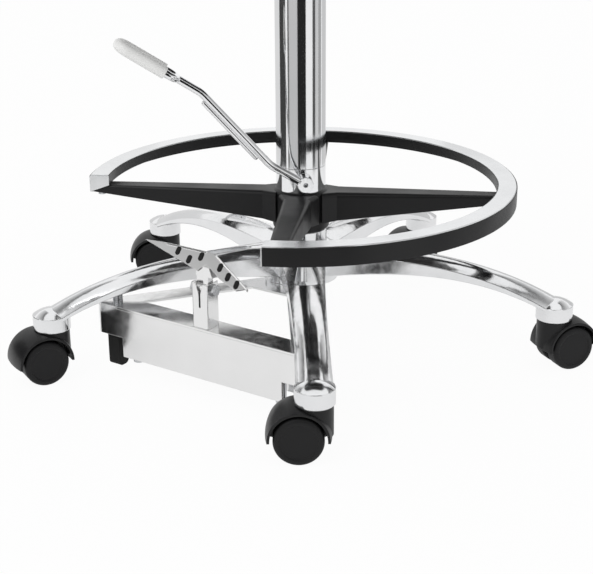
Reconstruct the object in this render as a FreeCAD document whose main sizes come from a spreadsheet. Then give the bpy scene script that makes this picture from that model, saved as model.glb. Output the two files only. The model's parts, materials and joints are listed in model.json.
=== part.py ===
"""Surgeon chair: star base on casters, floor brake, foot ring, foot-released gas lift, seat and backrest.

Millimetres, +Z up. The origin is on the floor, on the axis of the column. The seat faces -Y.
"""
import FreeCAD, Part
import math
import os
import re
from types import SimpleNamespace

from FreeCAD import Placement, Rotation, Vector

LEG_COUNT = 5
SPOKE_COUNT = 4
LEG_SECTIONS = 8
LEG_BEND = 3.1
CASTER_TURNS = (180, 22, 200, 185, 211)

SIZES = {
    # Gaps between pieces that run on each other and pieces that are seated in each other
    "running_gap": 0.3,
    "seat_gap": 0.05,
    # Five-star base
    "caster_circle_r": 290,
    "first_leg_angle": -87.58,
    "hub_dia": 84,
    "hub_bottom": 81.5,
    "hub_shoulder": 122.5,
    "hub_boss_dia": 58,
    "leg_root_r": 30,
    "leg_root_top": 122.5,
    "leg_drop": 42,
    "leg_crown": 6,
    "leg_end_crown": 11,
    "leg_root_depth": 32,
    "leg_end_depth": 14.3,
    "leg_root_width": 54,
    "leg_waist_width": 35,
    "leg_waist_at": 0.75,
    "leg_wall": 4,
    "hollow_from": 0.12,
    "hollow_to": 0.88,
    "cap_dia": 40.4,
    "cap_bottom": 58,
    "cap_skirt": 16,
    "cutout_outer_r": 126,
    "cutout_outer_dia": 25,
    "cutout_inner_r": 66,
    "cutout_inner_dia": 11,
    # Casters
    "wheel_dia": 50,
    "wheel_width": 17,
    "wheel_dome": 4,
    "wheel_nick": 1.5,
    "wheel_face": 3,
    "caster_trail": 15.5,
    "hood_r": 32.5,
    "hood_wall": 4.5,
    "hood_span": 184,
    "web_width": 8,
    "swivel_boss_dia": 37,
    "stem_dia": 11,
    "stem_reach": 16,
    "stem_seat": 8,
    "axle_dia": 8,
    # Column and gas lift
    "stand_dia": 50,
    "stand_wall": 2,
    "column_dia": 55.6,
    "column_top": 436.5,
    "collar_bottom": 186.1,
    "collar_height": 27.4,
    "bush_length": 60,
    "bush_flange": 4,
    "lift_dia": 38,
    "lift_wall": 3,
    "lift_bottom": 228.5,
    "lift_top": 474.5,
    "rod_dia": 12,
    "rod_foot": 218.5,
    "rod_foot_height": 4,
    "rod_top": 448.5,
    "piston_height": 12,
    "washer_height": 2,
    "support_height": 6,
    # Lift release: lever outside, shaft through the collar, plunger up the axis
    "lever_angle": -83.2,
    "lever_height": 200.7,
    "lever_boss_dia": 17.5,
    "lever_boss_width": 8,
    "collar_boss_r": 36,
    "lever_rod_dia": 8.5,
    "lever_knee_out": 38,
    "lever_knee_up": 23,
    "lever_bend_out": 110,
    "lever_bend_up": 104.5,
    "lever_end_out": 197,
    "lever_end_up": 160,
    "lever_bend_r": 38,
    "lever_loop_width": 20,
    "lever_loop_length": 68,
    "lever_sleeve_dia": 13,
    "lever_sleeve_reach": 44,
    "lever_rib_dia": 6,
    "lever_rib_offset": 5.5,
    "lever_rib_from": 18,
    "lever_rib_to": 99,
    "shaft_dia": 10,
    "finger_length": 8,
    "plunger_dia": 8,
    "plunger_foot_dia": 18,
    "plunger_foot_height": 2,
    "plunger_lift": 1.8,
    # Foot ring on its spider
    "spider_turn": -6.5,
    "spider_hub_dia": 64,
    "spider_bottom": 139.5,
    "spoke_top": 184.5,
    "spoke_root_r": 26,
    "spoke_root_width": 46,
    "spoke_root_depth": 34,
    "spoke_neck_r": 42,
    "spoke_neck_width": 32,
    "spoke_end_width": 18,
    "spoke_end_depth": 8,
    "spoke_round": 5,
    "ring_outer_r": 241,
    "ring_width": 22,
    "ring_top": 196.9,
    "ring_outer_lip": 20,
    "ring_inner_lip": 12,
    "ring_wall": 3,
    "ring_overhang": 0.3,
    "tread_height": 1.2,
    "tread_margin": 0.8,
    "end_cap_thickness": 1.2,
    "ring_screw_dia": 5,
    "ring_screw_head": 3,
    # Floor brake between two legs: x runs outward along the bisector, y along the bar
    "bar_front": 195,
    "bar_width": 28,
    "bar_length": 282,
    "bar_bottom": 24,
    "bar_height": 55,
    "bar_wall": 2.5,
    "bar_round": 7,
    "bar_notch_at": 105,
    "bar_notch_top": 46.5,
    "arm_width": 24,
    "arm_outset": 5,
    "arm_thickness": 2.5,
    "arm_root_r": 33,
    "arm_lug_end": 64,
    "spacer_r": 216,
    "spacer_dia": 11,
    "frame_bolt_dia": 6,
    "post_width": 20,
    "post_wall": 2,
    "post_along": 2.2,
    "post_setback": 1.5,
    "post_height": 49,
    "pin_below_top": 7.5,
    "pin_dia": 8,
    "pin_head_dia": 11,
    "pin_head": 5,
    "slit_width": 2.2,
    "slit_depth": 26,
    "funnel_width": 9,
    "funnel_depth": 11,
    "pedal_bank": 50,
    "pedal_rise": 31.5,
    "pedal_sheet": 2.5,
    "pedal_left": 82,
    "pedal_right": 63,
    "pedal_top": 9.2,
    "pedal_tip_top": 7.5,
    "pedal_ridge": 12,
    "pedal_left_low": 13.1,
    "pedal_notch": 4.3,
    "pedal_right_drop": 19.6,
    "pedal_right_low": 24.4,
    "pedal_flange": 9,
    "tongue_thickness": 8,
    "gusset_from": 14,
    "gusset_left": 9,
    "gusset_right": 13,
    "gusset_top": 3.5,
    "grip_length": 9,
    "grip_width": 5,
    "grip_proud": 0.8,
    "push_rod_dia": 10,
    "beam_bottom": 46.5,
    "beam_height": 10,
    "beam_width": 17,
    "beam_length": 264,
    "foot_along": 124.5,
    "foot_length": 15,
    "foot_depth": 15,
    "foot_clear": 7,
    "foot_round": 5,
    "guide_along": 95,
    "guide_dia": 6,
    "guide_head_dia": 12,
    "guide_head": 4,
    "guide_head_bottom": 16.5,
    "spring_dia": 11,
    # Seat and backrest
    "seat_plate_length": 180,
    "seat_plate_width": 160,
    "seat_plate_height": 5,
    "socket_dia": 50,
    "socket_depth": 28,
    "pan_width": 400,
    "pan_depth": 390,
    "pan_height": 12,
    "pan_round": 90,
    "cushion_height": 74,
    "cushion_overhang": 6,
    "cushion_draw": 4,
    "cushion_dome": 120,
    "seat_screw_dia": 6,
    "seat_screw_head": 4,
    "seat_screw_inset": 18,
    "back_bar_width": 60,
    "back_bar_thickness": 8,
    "back_bar_front": 20,
    "back_bar_rear": 284,
    "back_bar_bend": 45,
    "back_pivot_height": 656,
    "back_pin_dia": 10,
    "back_lug_thickness": 6,
    "carrier_width": 260,
    "carrier_bottom": 596,
    "carrier_height": 170,
    "carrier_thickness": 8,
    "carrier_gap": 11,
    "carrier_round": 50,
    "back_width": 350,
    "back_height": 235,
    "back_thickness": 60,
    "back_overhang": 4,
    "back_dome": 74,
    "back_bottom": 582,
    "back_round": 70,
}

doc = FreeCAD.newDocument("surgeon_chair")
sheet = doc.addObject("Spreadsheet::Sheet", "Sizes")
for row, (alias, value) in enumerate(SIZES.items(), start=1):
    sheet.set(f"A{row}", alias)
    sheet.set(f"B{row}", str(value))
    sheet.setAlias(f"B{row}", alias)
doc.recompute()
size = SimpleNamespace(**{alias: float(sheet.get(alias)) for alias in SIZES})

# Axes that a primitive can lie along
UPRIGHT = Rotation()
ALONG_X = Rotation(Vector(0, 1, 0), 90)
ALONG_Y = Rotation(Vector(1, 0, 0), -90)
UP = Vector(0, 0, 1)

# Share of its radius that a quarter round stands off its corner, at its middle
quarter = 1 - math.sqrt(0.5)

sub_parts = []


def keep(obj, label, placement=None):
    """Name a finished sub-part and list it for writing."""
    obj.Label = label
    if placement is not None:
        obj.Placement = placement
    sub_parts.append(obj)
    return obj


def bound(expression):
    """The expression with every alias read from the sheet."""
    def cell(match):
        word = match.group()
        return f"Sizes.{word}" if word in SIZES else word
    return re.sub(r"[a-z][a-z_]+", cell, str(expression))


def bind(obj, **expressions):
    for name, expression in expressions.items():
        obj.setExpression(name, bound(expression))


def locate(obj, at, rotation):
    obj.Placement = Placement(Vector(), rotation)
    for axis, expression in zip("xyz", at):
        obj.setExpression(f"Placement.Base.{axis}", bound(expression))


def cylinder(name, diameter, length, at=(0, 0, 0), rotation=UPRIGHT):
    obj = doc.addObject("Part::Cylinder", name)
    bind(obj, Radius=f"({diameter}) / 2", Height=length)
    locate(obj, at, rotation)
    return obj


def hexagon(name, across, length, at, rotation=UPRIGHT):
    """Bolt head or nut, by its width across the flats."""
    obj = doc.addObject("Part::Prism", name)
    obj.Polygon = 6
    bind(obj, Circumradius=f"({across}) / sqrt(3)", Height=length)
    locate(obj, at, rotation)
    return obj


def block(name, length, width, height, at=(0, 0, 0)):
    """A box whose foot is centred on the point given."""
    obj = doc.addObject("Part::Box", name)
    bind(obj, Length=length, Width=width, Height=height)
    x, y, z = at
    locate(obj, (f"{x} - ({length}) / 2", f"{y} - ({width}) / 2", z), UPRIGHT)
    return obj


def fused(name, *pieces):
    obj = doc.addObject("Part::MultiFuse", name)
    obj.Shapes = list(pieces)
    obj.Refine = True
    return obj


def cut(name, base, *tools):
    obj = doc.addObject("Part::Cut", name)
    obj.Base = base
    obj.Tool = tools[0] if len(tools) == 1 else fused(name + "_tools", *tools)
    obj.Refine = True
    return obj


def grouped(name, *pieces):
    obj = doc.addObject("Part::Compound", name)
    obj.Links = list(pieces)
    return obj


def shaped(name, shape):
    obj = doc.addObject("Part::Feature", name)
    obj.Shape = shape
    return obj


def tube(name, outer, inner, bottom, top):
    height = f"{top} - ({bottom})"
    wall = cylinder(name + "_outer", outer, height, (0, 0, bottom))
    bore = cylinder(name + "_bore", inner, height, (0, 0, bottom))
    return cut(name, wall, bore)


def outline(points):
    """Closed edges through points; a point with four numbers is reached by an arc through its last two."""
    edges = []
    for start, end in zip(points, points[1:] + points[:1]):
        first = Vector(start[0], start[1], 0)
        last = Vector(end[0], end[1], 0)
        if len(end) == 4:
            edges.append(Part.Arc(first, Vector(end[2], end[3], 0), last))
        else:
            edges.append(Part.LineSegment(first, last))
    return edges


def rounded_rectangle(length, width, radius, centre=(0, 0)):
    """Outline of a rectangle with round corners."""
    x, y = centre
    points = []
    for turn, sign_x, sign_y in ((0, 1, 1), (90, -1, 1), (180, -1, -1), (270, 1, -1)):
        corner_x = x + sign_x * (length / 2 - radius)
        corner_y = y + sign_y * (width / 2 - radius)
        start, middle, end = (math.radians(turn + step) for step in (0, 45, 90))
        points.append((corner_x + radius * math.cos(start), corner_y + radius * math.sin(start)))
        points.append((corner_x + radius * math.cos(end), corner_y + radius * math.sin(end),
                       corner_x + radius * math.cos(middle), corner_y + radius * math.sin(middle)))
    return outline(points)


def sketch(body, role, name, loops, offset=0):
    plane = next(feature for feature in body.Origin.OriginFeatures if feature.Role == role)
    drawing = body.newObject("Sketcher::SketchObject", name)
    drawing.AttachmentSupport = (plane, [""])
    drawing.MapMode = "FlatFace"
    drawing.setExpression("AttachmentOffset.Base.z", bound(offset))
    for loop in loops:
        drawing.addGeometry(loop, False)
    return drawing


def turned(name, points, role="XZ_Plane", axis="V_Axis", angle=360, midplane=False):
    """A body turned about an axis of its profile's sketch."""
    body = doc.addObject("PartDesign::Body", name)
    turn = body.newObject("PartDesign::Revolution", name + "_turn")
    turn.Profile = sketch(body, role, name + "_profile", [outline(points)])
    turn.ReferenceAxis = (turn.Profile[0], [axis])
    turn.Midplane = midplane
    bind(turn, Angle=angle)
    body.Tip = turn
    return body


def pad(body, name, role, loops, length, offset=0, midplane=False):
    feature = body.newObject("PartDesign::Pad", name)
    feature.Profile = sketch(body, role, name + "_sketch", loops, offset)
    feature.Midplane = midplane
    bind(feature, Length=length)
    body.Tip = feature
    return feature


def padded(name, role, loops, length, offset=0, midplane=False):
    body = doc.addObject("PartDesign::Body", name)
    pad(body, name + "_pad", role, loops, length, offset, midplane)
    return body


def pocket(body, name, role, loops, length, offset=0, midplane=False):
    feature = body.newObject("PartDesign::Pocket", name)
    feature.Profile = sketch(body, role, name + "_sketch", loops, offset)
    feature.Midplane = midplane
    bind(feature, Length=length)
    body.Tip = feature
    return feature


def circle(x, y, diameter):
    return [Part.Circle(Vector(x, y, 0), UP, diameter / 2)]


def ring_of(angle, radius, height=0.0):
    """A point at an angle and radius about the column."""
    turn = math.radians(angle)
    return Vector(radius * math.cos(turn), radius * math.sin(turn), height)


def about_z(angle, base=Vector()):
    return Placement(base, Rotation(UP, angle))


def wire(points):
    """Closed wire through points in space; a pair (point, via) is reached by an arc."""
    edges = []
    ends = [point if isinstance(point, Vector) else point[0] for point in points]
    for index, point in enumerate(points):
        start = ends[index - 1]
        if isinstance(point, Vector):
            edges.append(Part.LineSegment(start, point).toShape())
        else:
            edges.append(Part.Arc(start, point[1], point[0]).toShape())
    return Part.Wire(Part.__sortEdges__(edges))


def prism(points, direction):
    return Part.Face(wire(points)).extrude(direction)


# Five-star base
bore_dia = size.stand_dia + 2 * size.seat_gap
half_pitch = 180 / LEG_COUNT


def leg_angle(index):
    return size.first_leg_angle + index * 360 / LEG_COUNT


def leg_station(share):
    """Radius, half width, crest height, depth and crown of a leg at a share of its length."""
    radius = size.leg_root_r + share * (size.caster_circle_r - size.leg_root_r)
    crest = size.leg_root_top - size.leg_drop * share ** LEG_BEND
    depth = size.leg_end_depth + (size.leg_root_depth - size.leg_end_depth) * (1 - share) ** 2
    swell = ((share - size.leg_waist_at) / size.leg_waist_at) ** 2
    half = (size.leg_waist_width + (size.leg_root_width - size.leg_waist_width) * swell) / 2
    crown = size.leg_crown + (size.leg_end_crown - size.leg_crown) * share ** 2
    return radius, half, crest, depth, crown


def leg_section(share, inset=0.0):
    """Crowned inverted channel of a leg; an inset gives the hollow beneath it."""
    radius, half, crest, depth, crown = leg_station(share)
    side = half - inset
    low = crest - depth - inset
    shoulder = crest - crown - inset
    return wire([
        Vector(radius, -side, low),
        Vector(radius, side, low),
        Vector(radius, side, shoulder),
        (Vector(radius, -side, shoulder), Vector(radius, 0, crest - inset)),
    ])


def leg_hollow():
    span = size.hollow_to - size.hollow_from
    shares = [size.hollow_from + span * step / (LEG_SECTIONS - 1) for step in range(LEG_SECTIONS)]
    return Part.makeLoft([leg_section(share, size.leg_wall) for share in shares], True)


def leg_cap():
    """Round skirt over the caster stem, domed up to the end of the leg's crest."""
    side, middle = size.cap_dia / 2, size.caster_circle_r
    low, top = size.cap_bottom + size.cap_skirt, leg_station(1)[2] + size.running_gap
    rise = top - low
    dome_r = (side ** 2 + rise ** 2) / (2 * rise)
    half_turn = math.asin(side / dome_r) / 2
    via = Vector(middle + dome_r * math.sin(half_turn), 0, top - dome_r * (1 - math.cos(half_turn)))
    profile = [Vector(middle, 0, size.cap_bottom), Vector(middle + side, 0, size.cap_bottom),
               Vector(middle + side, 0, low), (Vector(middle, 0, top), via)]
    return Part.Face(wire(profile)).revolve(Vector(middle, 0, 0), UP, 360)


def leg_solid():
    shares = [step / (LEG_SECTIONS - 1) for step in range(LEG_SECTIONS)]
    arm = Part.makeLoft([leg_section(share) for share in shares], True)
    return arm.fuse(leg_cap())


def teardrop():
    """Cut-out through a leg: a round outer end drawn in towards the hub."""
    outer, inner = size.cutout_outer_dia / 2, size.cutout_inner_dia / 2
    slope = math.asin((outer - inner) / (size.cutout_outer_r - size.cutout_inner_r))
    outer_x, outer_y = size.cutout_outer_r - outer * math.sin(slope), outer * math.cos(slope)
    inner_x, inner_y = size.cutout_inner_r - inner * math.sin(slope), inner * math.cos(slope)
    return prism([
        (Vector(inner_x, inner_y, 0), Vector(size.cutout_inner_r - inner, 0, 0)),
        Vector(outer_x, outer_y, 0),
        (Vector(outer_x, -outer_y, 0), Vector(size.cutout_outer_r + outer, 0, 0)),
        Vector(inner_x, -inner_y, 0),
    ], UP * 2 * size.leg_root_top)


def star_base():
    hub_r, boss_r = size.hub_dia / 2, size.hub_boss_dia / 2
    hub = Part.Face(wire([
        Vector(0, 0, size.hub_bottom),
        Vector(hub_r, 0, size.hub_bottom),
        Vector(hub_r, 0, size.hub_shoulder - size.leg_crown),
        Vector(boss_r, 0, size.hub_shoulder),
        Vector(boss_r, 0, size.spider_bottom),
        Vector(0, 0, size.spider_bottom),
    ])).revolve(Vector(), UP, 360)
    stem_hole = Part.makeCylinder(size.stem_dia / 2 + size.running_gap, size.stem_reach + size.running_gap,
                                  Vector(size.caster_circle_r, 0, size.cap_bottom))
    legs, cuts = [], []
    arm, hollow, drop = leg_solid(), leg_hollow(), teardrop()
    for index in range(LEG_COUNT):
        turn = about_z(leg_angle(index))
        legs.append(arm.transformed(turn.toMatrix()))
        cuts += [tool.transformed(turn.toMatrix()) for tool in (hollow, drop, stem_hole)]
    cuts.append(Part.makeCylinder(bore_dia / 2, size.spider_bottom, Vector(0, 0, 0)))
    return hub.fuse(legs).cut(cuts).removeSplitter()


keep(shaped("star_base", star_base()), "star_base")

# Casters: each is built about its axle, with the stem ahead of it
wheel_r = size.wheel_dia / 2
hood_inner = size.hood_r - size.hood_wall
hood_half = size.web_width / 2 + size.running_gap + size.wheel_width


def caster_hood(name):
    """Arched fender with a swivel boss, a wheel space cut each side of a middle web that holds the axle."""
    edge = size.hood_r - size.wheel_dome / 2
    body = turned(name, [
        (-hood_half, hood_inner),
        (-hood_half, edge),
        (hood_half, edge, 0, size.hood_r),
        (hood_half, hood_inner),
    ], "YZ_Plane", "H_Axis", "hood_span", True)
    crown = "cap_bottom - running_gap - wheel_dia / 2"
    boss = circle(-size.caster_trail, 0, size.swivel_boss_dia)
    pad(body, name + "_boss", "XY_Plane", [boss], crown)
    inner = size.web_width / 2
    spaces = [outline([(side * inner, 0), (side * hood_half * 1.5, 0), (side * hood_half * 1.5, hood_inner),
                       (side * inner, hood_inner)]) for side in (-1, 1)]
    groove = body.newObject("PartDesign::Groove", name + "_wheel_space")
    groove.Profile = sketch(body, "YZ_Plane", name + "_space_profile", spaces)
    groove.ReferenceAxis = (groove.Profile[0], ["H_Axis"])
    groove.Angle = 360
    droop = math.radians(size.hood_span / 2)
    web_r = hood_inner + size.hood_wall / 4
    tip = (web_r * math.sin(droop), web_r * math.cos(droop))
    foot = size.axle_dia
    web = outline([(-tip[0], tip[1]), (tip[0], tip[1], 0, web_r), (foot, -foot), (-foot, -foot)])
    pad(body, name + "_web", "XZ_Plane", [web], "web_width", midplane=True)
    axle_hole = circle(0, 0, size.axle_dia + 2 * size.running_gap)
    pocket(body, name + "_axle_hole", "XZ_Plane", [axle_hole], "web_width * 2", midplane=True)
    stem_hole = circle(-size.caster_trail, 0, size.stem_dia + 2 * size.seat_gap)
    pocket(body, name + "_stem_hole", "XY_Plane", [stem_hole], "stem_seat", crown)
    return body


def caster_wheel(name):
    """One wheel with a rounded tread and a shallow dished face that hides the end of the axle."""
    inner = size.web_width / 2 + size.running_gap
    outer = inner + size.wheel_width
    bore = size.axle_dia / 2 + size.seat_gap
    rim = wheel_r - size.wheel_dome
    dish = outer - size.wheel_dome / 4
    floor = outer - size.wheel_face
    return turned(name, [
        (bore, inner),
        (wheel_r - size.wheel_nick, inner),
        (wheel_r, inner + size.wheel_nick),
        (wheel_r, outer - size.wheel_dome),
        (rim, outer, wheel_r - size.wheel_dome * quarter, outer - size.wheel_dome * quarter),
        (rim - size.wheel_nick, outer),
        (rim - 2 * size.wheel_nick, dish),
        (0, dish),
        (0, floor),
        (bore, floor),
    ], "XY_Plane", "V_Axis")


def caster(index):
    number = index + 1
    stem_at = ring_of(leg_angle(index), size.caster_circle_r)
    frame = about_z(CASTER_TURNS[index % len(CASTER_TURNS)], stem_at)
    axle_frame = frame.multiply(Placement(Vector(size.caster_trail, 0, wheel_r), Rotation()))
    keep(caster_hood(f"hood_{number}"), f"caster_hood_{number}", axle_frame)
    stem_low = "cap_bottom - running_gap - stem_seat"
    stem_length = f"cap_bottom + stem_reach - ({stem_low})"
    stem = cylinder(f"stem_{number}", "stem_dia", stem_length, (0, 0, stem_low))
    keep(grouped(f"stem_set_{number}", stem), f"caster_stem_{number}", frame)
    wheel = caster_wheel(f"wheel_{number}")
    twin = doc.addObject("Part::Mirroring", f"twin_{number}")
    twin.Source = wheel
    twin.Normal = Vector(0, 1, 0)
    keep(grouped(f"wheels_{number}", wheel, twin), f"caster_wheels_{number}", axle_frame)
    width = "web_width + 2 * wheel_width - 2 * wheel_face"
    axle = cylinder(f"axle_{number}", "axle_dia", width, (0, f"-({width}) / 2", 0), ALONG_Y)
    keep(grouped(f"axle_set_{number}", axle), f"caster_axle_{number}", axle_frame)


for leg in range(LEG_COUNT):
    caster(leg)

# Column: stand tube in the hub, chrome collar and sleeve over it, guide bush in its mouth
collar_top = "collar_bottom + collar_height"
lever_frame = about_z(size.lever_angle)
along_shaft = lever_frame.Rotation.multiply(ALONG_X)
shaft_hole = cylinder("shaft_hole", "shaft_dia + 2 * running_gap", "collar_boss_r + 1",
                      (0, 0, "lever_height"), along_shaft)

stand_wall = tube("stand_wall", "stand_dia", "stand_dia - 2 * stand_wall", "hub_bottom", "column_top")
keep(cut("stand_tube", stand_wall, shaft_hole), "stand_tube")

collar_wall = cylinder("collar_wall", "column_dia", "collar_height", (0, 0, "collar_bottom"))
collar_boss = cylinder("collar_boss", "lever_boss_dia", "collar_boss_r", (0, 0, "lever_height"), along_shaft)
collar_bore = cylinder("collar_bore", "stand_dia + 2 * seat_gap", "collar_height", (0, 0, "collar_bottom"))
keep(cut("collar", fused("collar_body", collar_wall, collar_boss), collar_bore, shaft_hole), "release_collar")

keep(tube("sleeve", "column_dia", "stand_dia + 2 * seat_gap", f"{collar_top} + running_gap", "column_top"),
     "column_sleeve")

bush_dia = size.stand_dia - 2 * size.stand_wall - 2 * size.seat_gap
slide_r = size.lift_dia / 2 + size.running_gap
bush_foot = size.column_top - size.bush_length
bush_head = size.column_top + size.bush_flange
keep(turned("bush", [
    (slide_r, bush_foot),
    (bush_dia / 2, bush_foot),
    (bush_dia / 2, size.column_top),
    (size.column_dia / 2, size.column_top),
    (size.column_dia / 2, bush_head - 2),
    (size.column_dia / 2 - 2, bush_head),
    (slide_r, bush_head),
]), "guide_bush")

# Gas lift: the cylinder rides up the rod with the seat, the rod turns on a washer
support_top = size.rod_foot - size.washer_height - 2 * size.seat_gap
support_dia = size.stand_dia - 2 * size.stand_wall - 2 * size.seat_gap
pin_passage = size.plunger_dia / 2 + size.running_gap
passage_dia = "plunger_dia + 2 * running_gap"
keep(tube("support", support_dia, passage_dia, f"{support_top} - support_height", support_top), "rod_support")
keep(tube("washer", "rod_dia * 2.5", passage_dia, support_top, f"{support_top} + washer_height"),
     "thrust_washer")

plunger_top = size.rod_foot + size.rod_foot_height
piston_r = size.lift_dia / 2 - size.lift_wall - size.running_gap
keep(turned("rod", [
    (pin_passage, size.rod_foot),
    (size.rod_dia, size.rod_foot),
    (size.rod_dia, size.rod_foot + size.rod_foot_height),
    (size.rod_dia / 2, size.rod_foot + size.rod_foot_height),
    (size.rod_dia / 2, size.rod_top - size.piston_height),
    (piston_r, size.rod_top - size.piston_height),
    (piston_r, size.rod_top),
    (0, size.rod_top),
    (0, plunger_top + size.plunger_lift + size.running_gap),
    (pin_passage, plunger_top + size.plunger_lift + size.running_gap),
]), "piston_rod")

gland = size.lift_wall * 3
keep(turned("lift", [
    (size.rod_dia / 2 + size.running_gap, size.lift_bottom),
    (size.lift_dia / 2, size.lift_bottom),
    (size.lift_dia / 2, size.lift_top),
    (0, size.lift_top),
    (0, size.lift_top - size.lift_wall),
    (size.lift_dia / 2 - size.lift_wall, size.lift_top - size.lift_wall),
    (size.lift_dia / 2 - size.lift_wall, size.lift_bottom + gland),
    (size.rod_dia / 2 + size.running_gap, size.lift_bottom + gland),
]), "gas_cylinder")

# Lift release: lever frame has x along the shaft, y across it, z up
lever_axis = Placement(Vector(0, 0, size.lever_height), Rotation())
lever_place = lever_frame.multiply(lever_axis)
foot_low = size.lever_height + size.shaft_dia / 2 + size.running_gap
keep(turned("plunger", [
    (0, foot_low),
    (size.plunger_foot_dia / 2, foot_low),
    (size.plunger_foot_dia / 2, foot_low + size.plunger_foot_height),
    (size.plunger_dia / 2, foot_low + size.plunger_foot_height),
    (size.plunger_dia / 2, plunger_top),
    (0, plunger_top),
]), "release_plunger")

lever_inner = size.collar_boss_r + size.running_gap
lever_outer = lever_inner + size.lever_boss_width
shaft_length = "shaft_dia / 2 + collar_boss_r + running_gap + lever_boss_width / 2"
shaft_bar = cylinder("shaft_bar", "shaft_dia", shaft_length, ("-shaft_dia / 2", 0, 0), ALONG_X)
finger = block("finger", "shaft_dia", "finger_length", "shaft_dia - 1",
               (0, "finger_length / 2", "-shaft_dia / 2 + 0.5"))
keep(fused("shaft", shaft_bar, finger), "release_shaft", lever_place)


def disc(centre, normal, diameter):
    return Part.Face(Part.Wire(Part.Circle(centre, normal, diameter / 2).toShape()))


def bent_rod(points, radius, diameter):
    """Round rod of straight runs and bends of one radius, as solids end to end."""
    pieces = []
    start = points[0]
    for before, corner, after in zip(points, points[1:], points[2:]):
        back = (before - corner).normalize()
        ahead = (after - corner).normalize()
        turn = math.pi - back.getAngle(ahead)
        reach = radius * math.tan(turn / 2)
        centre = corner + (back + ahead).normalize() * (radius / math.cos(turn / 2))
        first = corner + back * reach
        pieces.append(disc(start, -back, diameter).extrude(first - start))
        pieces.append(disc(first, -back, diameter).revolve(centre, (-back).cross(ahead), math.degrees(turn)))
        start = corner + ahead * reach
    pieces.append(disc(start, points[-1] - start, diameter).extrude(points[-1] - start))
    return pieces


lever_plane = (lever_inner + lever_outer) / 2


def lever_point(out, up, aside=0.0):
    return Vector(lever_plane + aside, -out, up)


lever_knee = lever_point(size.lever_knee_out, size.lever_knee_up)
lever_bend = lever_point(size.lever_bend_out, size.lever_bend_up)
lever_end = lever_point(size.lever_end_out, size.lever_end_up)
run_out = (lever_end - lever_bend).normalize()
aside = Vector(1, 0, 0)
loop_half = size.lever_loop_width / 2
loop_far = lever_end - run_out * (loop_half + size.lever_rod_dia / 2)
loop_near = loop_far - run_out * (size.lever_loop_length - 2 * loop_half)


def bow(centre, outward, diameter):
    """Half turn of the loop about a centre, bulging along the outward direction."""
    return disc(centre + aside * loop_half, outward, diameter).revolve(centre, aside.cross(outward), 180)


def lever_rib():
    """Round-ended bar along the underside of the lever's long run."""
    ahead = (lever_bend - lever_knee).normalize()
    first = lever_knee + ahead * size.lever_rib_from + aside.cross(ahead) * size.lever_rib_offset
    last = first + ahead * (size.lever_rib_to - size.lever_rib_from)
    bar = disc(first, ahead, size.lever_rib_dia).extrude(last - first)
    return bar.fuse([Part.makeSphere(size.lever_rib_dia / 2, end) for end in (first, last)])


def release_lever():
    boss_r = size.lever_boss_dia / 2
    along = Vector(1, 0, 0)
    face = Vector(lever_inner, 0, 0)
    boss = Part.makeCylinder(boss_r, size.lever_boss_width, face, along)
    root = lever_point(boss_r * 0.6, boss_r * 0.6 * size.lever_knee_up / size.lever_knee_out)
    junction = loop_near - run_out * loop_half
    pieces = bent_rod([root, lever_knee, lever_bend, junction], size.lever_bend_r, size.lever_rod_dia)
    for side in (-1, 1):
        rail = disc(loop_near + aside * side * loop_half, run_out, size.lever_rod_dia)
        pieces.append(rail.extrude(loop_far - loop_near))
    pieces.append(bow(loop_near, -run_out, size.lever_rod_dia))
    pieces.append(bow(loop_far, run_out, size.lever_rod_dia))
    pieces.append(lever_rib())
    socket = Part.makeCylinder(size.shaft_dia / 2 + size.seat_gap, size.lever_boss_width / 2 + size.seat_gap,
                               face, along)
    key = Part.makeCylinder(size.shaft_dia / 4, size.lever_boss_width, face, along)
    return boss.fuse(pieces).cut([socket, key]).removeSplitter()


def sleeve_run(diameter):
    """Bow at the end of the loop with a straight run back along each rail."""
    pieces = []
    for side in (-1, 1):
        end = disc(loop_far + aside * side * loop_half, run_out, diameter)
        pieces.append(end.extrude(run_out * -size.lever_sleeve_reach))
    return bow(loop_far, run_out, diameter).fuse(pieces)


def lever_sleeve():
    bore = sleeve_run(size.lever_rod_dia + 2 * size.seat_gap)
    return sleeve_run(size.lever_sleeve_dia).cut(bore).removeSplitter()


keep(shaped("lever", release_lever()), "release_lever", lever_place)
keep(shaped("sleeve_end", lever_sleeve()), "lever_sleeve", lever_place)

# Foot ring: an open channel over the ends of four spokes, with a bright tread and closed ends
ring_inner_r = size.ring_outer_r - size.ring_width
ring_body_top = size.ring_top - size.tread_height
ring_under = ring_body_top - size.ring_wall
channel_mid = size.ring_outer_r - size.ring_width / 2
channel_outer = size.ring_outer_r - size.ring_wall
spoke_reach = math.sqrt(channel_outer ** 2 - (size.spoke_end_width / 2) ** 2) - size.seat_gap
spoke_swing = math.degrees(math.asin(size.spoke_end_width / 2 / channel_mid))
ring_span = 360 * (1 - 1 / SPOKE_COUNT) + 2 * (spoke_swing + size.ring_overhang)
front_spoke = size.spider_turn - 360 / SPOKE_COUNT
ring_start = front_spoke - spoke_swing - size.ring_overhang


def spoke_low(radius):
    """Height of a spoke's underside at a radius."""
    share = (radius - size.spoke_root_r) / (spoke_reach - size.spoke_root_r)
    depth = size.spoke_root_depth + share * (size.spoke_end_depth - size.spoke_root_depth)
    return size.spoke_top - depth


def spoke_section(reach, width):
    half = width / 2
    top, low = size.spoke_top, spoke_low(reach)
    round_r = min(size.spoke_round, (top - low) / 3)
    nick = round_r * quarter
    return wire([
        Vector(reach, -half, low),
        Vector(reach, half, low),
        Vector(reach, half, top - round_r),
        (Vector(reach, half - round_r, top), Vector(reach, half - nick, top - nick)),
        Vector(reach, round_r - half, top),
        (Vector(reach, -half, top - round_r), Vector(reach, nick - half, top - nick)),
    ])


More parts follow.
